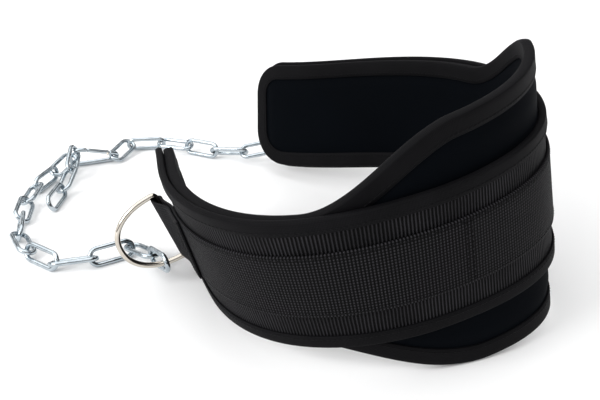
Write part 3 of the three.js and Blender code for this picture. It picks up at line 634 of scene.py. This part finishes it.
# Outer band: one layer of ribbed webbing
def build_band():
    s = lengthwise(CLOTH_STEPS["along"])
    top, bottom = band_top(s), band_bottom(s)
    share = np.linspace(0, 1, CLOTH_STEPS["band_across"])
    across = bottom[:, None] + (top - bottom)[:, None] * share
    half = BAND_THICKNESS / 2
    front = belt_point(s[:, None], across, BAND_LEVEL + half)
    back = belt_point(s[:, None], across[:, ::-1], BAND_LEVEL - half)
    rows = np.concatenate([front, back], axis=1)[:, ::-1]
    heights = np.concatenate([share, share[::-1], share[:1]]) * BAND_WIDTH * MM
    piece = swept("outer_band_webbing", rows, s * MM, heights, WEBBING)
    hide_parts("outer_band")


# Load strap with its loops
def loop_rows(ring):
    """The strap's run round a ring's bar: distance from the bar, level and tip."""
    lower = RING_LIFT - LOOP_RADIUS - STRAP_LEVEL
    upper = RING_LIFT + LOOP_RADIUS - UPPER_STRAP_LEVEL
    away = np.concatenate([np.linspace(LOOP_RETURN, LOOP_EASE, STRAP_STEPS["flat"], endpoint=False),
                           np.linspace(LOOP_EASE, 0, STRAP_STEPS["ease"], endpoint=False)])
    ease = 1 - smooth(away / LOOP_EASE)
    first = np.stack([away, STRAP_LEVEL + lower * ease, ring["tip"] * ease], 1)
    angle = np.linspace(-math.pi / 2, math.pi / 2, STRAP_STEPS["turn"])
    turn = np.stack([-LOOP_RADIUS * np.cos(angle), RING_LIFT + LOOP_RADIUS * np.sin(angle),
                     np.full(len(angle), ring["tip"])], 1)
    away = np.append(away[::-1], LOOP_RETURN + 2 * STRAP_THICKNESS)
    ease = 1 - smooth(away / LOOP_EASE)
    last = np.stack([away, UPPER_STRAP_LEVEL + upper * ease, ring["tip"] * ease], 1)
    return np.concatenate([first, turn, last])


def strap_section():
    """Section of the strap as heights across it and levels, with soft edges."""
    half = STRAP_THICKNESS / 2
    reach = HALF_STRAP - STRAP_EDGE["flat_inset"]
    side = HALF_STRAP - STRAP_EDGE["side_inset"]
    height = STRAP_EDGE["side_height"]
    flat = np.linspace(-reach, reach, STRAP_STEPS["across"])
    section = [(a, half) for a in flat] + [(side, height), (HALF_STRAP, 0), (side, -height)]
    section += [(a, -half) for a in flat[::-1]] + [(-side, -height), (-HALF_STRAP, 0), (-side, height)]
    return np.array(section)


def build_strap():
    near, far = loop_rows(NEAR_RING), loop_rows(FAR_RING)
    near[:, 0] += RING_INSET
    far[:, 0] = BELT_LENGTH - RING_INSET - far[:, 0]
    clear = RING_INSET + LOOP_RETURN + LOOP_JOIN
    middle = np.linspace(clear, BELT_LENGTH - clear, STRAP_STEPS["along"])
    plain = np.stack([middle, np.full(len(middle), STRAP_LEVEL), np.zeros(len(middle))], 1)
    run = np.concatenate([near[::-1], plain, far])
    course = np.gradient(run[:, :2], axis=0)
    course /= np.linalg.norm(course, axis=1, keepdims=True)
    section = strap_section()
    tip = np.radians(run[:, 2])[:, None]
    distance = run[:, :1] - course[:, 1:] * section[:, 1]
    level = run[:, 1:2] + course[:, :1] * section[:, 1] + section[:, 0] * np.sin(tip)
    rows = belt_point(distance, STRAP_RISE + section[:, 0] * np.cos(tip), level)
    around = np.append(section[::-1, 0], section[-1, 0]) * MM
    along = lengths_along(rows[:, STRAP_STEPS["across"] // 2])
    piece = swept("load_strap", rows[:, ::-1], along, around, STRAPPING)
    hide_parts("strap")
    stitch_strap()


def stitch_strap():
    """Seams along both edges and across the middle, and a crossed box at each loop."""
    half = STRAP_THICKNESS / 2
    top = STRAP_LEVEL + half
    start = RING_INSET + LOOP_RETURN + SEAM_START
    low, high = STRAP_RISE - STRAP_SEAM, STRAP_RISE + STRAP_SEAM
    for word, height in (("upper", high), ("lower", low)):
        stitch_row(f"strap_seam_{word}", [(start, height), (BELT_LENGTH - start, height)], top, 1)
    for distance in MID_SEAMS:
        stitch_row(f"strap_cross_seam_{distance}", [(distance, low), (distance, high)], top, 1)
    first, last = LOOP_EASE + EASE_SEAM, END_SEAMS[0]
    for word, side in (("near", 1), ("far", -1)):
        root = RING_INSET if side > 0 else BELT_LENGTH - RING_INSET
        seams = [[(away, low), (away, high)] for away in END_SEAMS + (first,)]
        seams += [[(first, height), (last, height)] for height in (low, high)]
        seams += [[(first, low), (last, high)], [(first, high), (last, low)]]
        for number, seam in enumerate(seams):
            track = [(root + side * away, height) for away, height in seam]
            stitch_row(f"loop_seam_{word}_{number}", track, UPPER_STRAP_LEVEL + half, 1)


# D-rings
def build_ring(name, node, inset, ring):
    point, along, up, out = (v[0] for v in belt_axes(np.array([float(inset)])))
    tip, swing = math.radians(ring["tip"]), math.radians(ring["swing"])
    bar = up * math.cos(tip) + out * math.sin(tip)
    away = out * math.cos(tip) - up * math.sin(tip)
    depth = away * math.cos(swing) + along * math.sin(swing)
    centre = point + up * STRAP_RISE + out * RING_LIFT
    power = 2 / RING_SQUARENESS
    angle = np.linspace(0, math.pi, RING_STEPS["bow"])
    across = RING_HALF_WIDTH * np.sign(np.cos(angle)) * np.abs(np.cos(angle)) ** power
    deep = RING_CORNER + (RING_DEPTH - RING_CORNER) * np.sin(angle) ** power
    corner = np.linspace(0, math.pi / 2, RING_STEPS["corner"])
    bend = RING_CORNER * (1 - np.cos(corner))
    straight = RING_HALF_WIDTH - RING_CORNER
    side = straight + RING_CORNER * np.sin(corner)
    flat = np.linspace(-straight, straight, RING_STEPS["bar"])[1:-1]
    steps = [(-a, b) for a, b in zip(side[::-1], bend[::-1])] + [(a, 0) for a in flat]
    steps += list(zip(side, bend)) + list(zip(across[1:-1], deep[1:-1]))
    path = settled(np.array([centre + bar * a + depth * b for a, b in steps]))
    normal = BELT_TURN @ np.cross(bar, depth)
    piece = wire(name, path, normal, RING_WIRE * MM, NICKEL, RING_STEPS["round"], looped=True)
    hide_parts(node)


# Chain links, each in the place and lie of its faceted one
def node_axes(node):
    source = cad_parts[node].data
    points = np.empty(len(source.vertices) * 3)
    source.vertices.foreach_get("co", points)
    points = points.reshape(-1, 3)
    centre = points.mean(axis=0)
    axes = np.linalg.svd(points - centre, full_matrices=False)[2]
    return centre, axes


def link_path():
    radius = (LINK_WIDTH - LINK_WIRE) / 2
    straight = (LINK_INSIDE + LINK_WIRE) / 2 - radius
    turn = np.linspace(-math.pi / 2, math.pi / 2, LINK_STEPS["end"])
    end = np.stack([straight + radius * np.cos(turn), radius * np.sin(turn)], 1)
    run = np.linspace(straight, -straight, LINK_STEPS["side"])[1:-1]
    side = np.stack([run, np.full(len(run), radius)], 1)
    return np.concatenate([end, side, -end, -side])


def build_links():
    path = link_path()
    weld = np.exp(-((path[:, 0] / WELD["half_length"]) ** 2)) * (path[:, 1] > 0)
    swell = 1 + WELD["swell"] * weld
    for number in range(1, LINK_COUNT + 1):
        node = f"chain_link_{number:02d}"
        centre, (length, width, _) = node_axes(node)
        points = centre + (path[:, :1] * length + path[:, 1:] * width) * MM
        piece = wire(f"link_{number:02d}", points, np.cross(length, width), LINK_WIRE * MM, ZINC,
                     LINK_STEPS["round"], looped=True, swell=swell)
        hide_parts(node)


# Spring hook, lying on its closed side
def hook_matrix():
    heading = math.radians(HOOK_MIDDLE["heading"])
    run = Vector((math.cos(heading), math.sin(heading), 0))
    side = Vector((0, 0, 1)).cross(run)
    roll = math.radians(HOOK_ROLL)
    rise = side * math.cos(roll) + Vector((0, 0, 1)) * math.sin(roll)
    along = run * math.cos(HOOK_TAPER) - rise * math.sin(HOOK_TAPER)
    across = run * math.sin(HOOK_TAPER) + rise * math.cos(HOOK_TAPER)
    turn = Matrix((along, across, along.cross(across))).transposed()
    low = math.pi / 2 - HOOK_TAPER
    closed = (hook_point(HOOK_WIDE, HOOK_WIDE, -low) + hook_point(HOOK_EYE_CENTRE, HOOK_EYE, -low)) / 2
    height = HOOK_WIRE / 2 + HOOK_CLEARANCE
    middle = Vector((HOOK_MIDDLE["x"], HOOK_MIDDLE["y"], height)) - turn @ Vector((*closed, 0))
    return turn, middle + Vector(ORIGIN_SHIFT)


def hook_point(centre, radius, angle):
    return np.array([centre + radius * math.cos(angle), radius * math.sin(angle)])


def gate_side_point(share):
    angle = math.pi / 2 - HOOK_TAPER
    eye = hook_point(HOOK_EYE_CENTRE, HOOK_EYE, angle)
    return eye + (hook_point(HOOK_WIDE, HOOK_WIDE, angle) - eye) * share


def hook_frame():
    """A function from the hook's plane in millimetres to the model's frame, and the hook's axes."""
    turn, middle = hook_matrix()
    matrix = np.array(turn)

    def place(points):
        return (np.asarray([(*p, 0) for p in points]) @ matrix.T + np.array(middle)) * MM

    return place, matrix[:, 0], matrix[:, 2]


def gate_course():
    course = gate_side_point(1) - gate_side_point(0)
    return course / np.linalg.norm(course)


def build_hook():
    place, _, normal = hook_frame()
    course = gate_course()
    clear = GATE_WIRE / 2 + PIECE_GAP
    bow_turn = np.linspace(0, math.pi + 2 * HOOK_TAPER, HOOK_STEPS["bow"]) + math.pi / 2 - HOOK_TAPER
    eye_turn = np.linspace(0, math.pi - 2 * HOOK_TAPER, HOOK_STEPS["eye"]) + HOOK_TAPER - math.pi / 2
    corners = [gate_side_point(GATE_NOSE_SHARE) + course * clear]
    corners += [hook_point(HOOK_WIDE, HOOK_WIDE, a) for a in bow_turn]
    corners += [hook_point(HOOK_EYE_CENTRE, HOOK_EYE, a) for a in eye_turn]
    corners.append(gate_side_point(GATE_PIVOT_SHARE) - course * clear)
    corners = np.array(corners)
    at = lengths_along(corners)
    fine = np.linspace(0, HOOK_TIP["fine_length"], HOOK_STEPS["tip"])
    even = np.unique(np.concatenate([np.linspace(0, at[-1], HOOK_STEPS["run"]), fine, at[-1] - fine]))
    path = np.stack([np.interp(even, at, corners[:, k]) for k in range(2)], 1)
    edge = np.clip(np.minimum(even, at[-1] - even) / HOOK_TIP["rounding"], 0, 1)
    narrow = HOOK_TIP["narrow"]
    share = narrow + (1 - narrow) * np.sqrt(1 - (1 - edge) ** 2)
    piece = wire("hook_wire", place(path), normal, HOOK_WIRE * MM, ZINC, HOOK_STEPS["round"], swell=share)
    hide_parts("spring_hook")


def build_gate():
    place, _, normal = hook_frame()
    course = gate_course()
    radius = GATE_WIRE / 2
    start = gate_side_point(GATE_PIVOT_SHARE) - course * radius
    end = gate_side_point(GATE_NOSE_SHARE) + course * radius
    length = np.linalg.norm(end - start)
    tip = radius * (1 - np.cos(np.linspace(0, math.pi / 2, GATE_STEPS["end"])))
    run = np.linspace(radius, length - radius, GATE_STEPS["run"])[1:-1]
    at = np.concatenate([tip, run, length - tip[::-1]])
    path = start + np.outer(at, course)
    edge = np.clip(np.minimum(at, length - at) / radius, 0, 1)
    share = np.maximum(np.sqrt(1 - (1 - edge) ** 2), GATE_TIP)
    gate = wire("gate_rod", place(path), normal, GATE_WIRE * MM, ZINC, GATE_STEPS["round"], swell=share,
                body="gate")
    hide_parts("hook_gate")


def build_rivet():
    """The gate's pivot pin, with a low domed head on each face."""
    place, side, axis = hook_frame()
    centre = place([gate_side_point(GATE_PIVOT_SHARE)])[0]
    reach, dome, tip = RIVET["reach"], RIVET["dome"], RIVET["tip"]
    half = [reach, reach + RIVET["shoulder"] * dome, reach + dome]
    at = [-v for v in half[::-1]] + half
    share = [1, RIVET["shoulder_width"], tip]
    path = [centre + axis * v * MM for v in at]
    rivet = wire("gate_rivet", path, side, 2 * RIVET["radius"] * MM, NICKEL, GATE_STEPS["round"],
                 swell=share[::-1] + share, body="gate")


build_pad()
build_binding("pad_edge_tape", "pad_binding", (pad_top, pad_bottom), 0, HALF_PAD_RIM, PAD_BINDING_WIDTH)
build_band()
build_binding("band_edge_tape", "band_binding", (band_top, band_bottom), BAND_LEVEL, BAND_THICKNESS / 2,
              BAND_BINDING_WIDTH)
build_strap()
build_ring("ring_near", "d_ring_near", RING_INSET, NEAR_RING)
build_ring("ring_far", "d_ring_far", BELT_LENGTH - RING_INSET, FAR_RING)
build_links()
build_hook()
build_gate()
build_rivet()


# Floor, light and camera
def build_floor():
    reach = FLOOR_REACH * MM
    corners = [(-reach, -reach, 0), (reach, -reach, 0), (reach, reach, 0), (-reach, reach, 0)]
    mesh = bpy.data.meshes.new("floor")
    mesh.from_pydata(corners, [], [(0, 1, 2, 3)])
    floor = bpy.data.objects.new("floor", mesh)
    bpy.context.collection.objects.link(floor)
    floor.data.materials.append(pale_floor())


def build_world():
    """White all round for the camera and the cloth, with a dark band near the horizon for the metal."""
    world = bpy.data.worlds.new("studio")
    bpy.context.scene.world = world
    world.use_nodes = True
    tree = world.node_tree
    tree.nodes.clear()
    output = tree.nodes.new("ShaderNodeOutputWorld")
    mix = tree.nodes.new("ShaderNodeMixShader")
    plain = tree.nodes.new("ShaderNodeBackground")
    banded = tree.nodes.new("ShaderNodeBackground")
    ray = tree.nodes.new("ShaderNodeLightPath")
    where = tree.nodes.new("ShaderNodeTexCoord")
    split = tree.nodes.new("ShaderNodeSeparateXYZ")
    ramp = tree.nodes.new("ShaderNodeValToRGB")
    direct = tree.nodes.new("ShaderNodeMath")
    direct.operation = "MAXIMUM"
    slant = tree.nodes.new("ShaderNodeMath")
    slant.operation = "MULTIPLY_ADD"
    slant.inputs[1].default_value = SKY_SLANT
    plain.inputs["Color"].default_value = (1, 1, 1, 1)
    plain.inputs["Strength"].default_value = 1.0
    banded.inputs["Strength"].default_value = 1.0
    stops = ramp.color_ramp.elements
    stops[0].position, stops[0].color = 0, SKY_LOW
    stops[1].position, stops[1].color = 1, SKY_HIGH
    for at, grey in SKY_BANDS:
        stop = stops.new(at)
        stop.color = (grey, grey, grey, 1)
    link = tree.links.new
    link(where.outputs["Generated"], split.inputs["Vector"])
    link(split.outputs["X"], slant.inputs[0])
    link(split.outputs["Z"], slant.inputs[2])
    link(slant.outputs[0], ramp.inputs["Fac"])
    link(ramp.outputs["Color"], banded.inputs["Color"])
    link(ray.outputs["Is Camera Ray"], direct.inputs[0])
    link(ray.outputs["Is Diffuse Ray"], direct.inputs[1])
    link(direct.outputs[0], mix.inputs["Fac"])
    link(banded.outputs["Background"], mix.inputs[1])
    link(plain.outputs["Background"], mix.inputs[2])
    link(mix.outputs["Shader"], output.inputs["Surface"])


def area_light(name, look):
    light = bpy.data.lights.new(name, "AREA")
    light.shape = "SQUARE"
    light.size = look["size"] * MM
    light.energy = look["power"]
    lamp = bpy.data.objects.new(name, light)
    bpy.context.collection.objects.link(lamp)
    lamp.location = Vector(look["place"]) * MM
    lamp.rotation_euler = (Vector(look["aim"]) - Vector(look["place"])).to_track_quat("-Z", "Y").to_euler()


def build_camera():
    camera = bpy.data.cameras.new("camera")
    camera.sensor_width = CAMERA["sensor"]
    camera.lens = CAMERA["lens"]
    view = bpy.data.objects.new("camera", camera)
    bpy.context.collection.objects.link(view)
    view.location = Vector(CAMERA["place"]) * MM
    view.rotation_euler = (math.radians(90 - CAMERA["pitch"]), 0, 0)
    bpy.context.scene.camera = view


build_floor()
build_world()
area_light("key", KEY_LIGHT)
area_light("fill", FILL_LIGHT)
build_camera()
bpy.context.scene.view_settings.view_transform = "Standard"
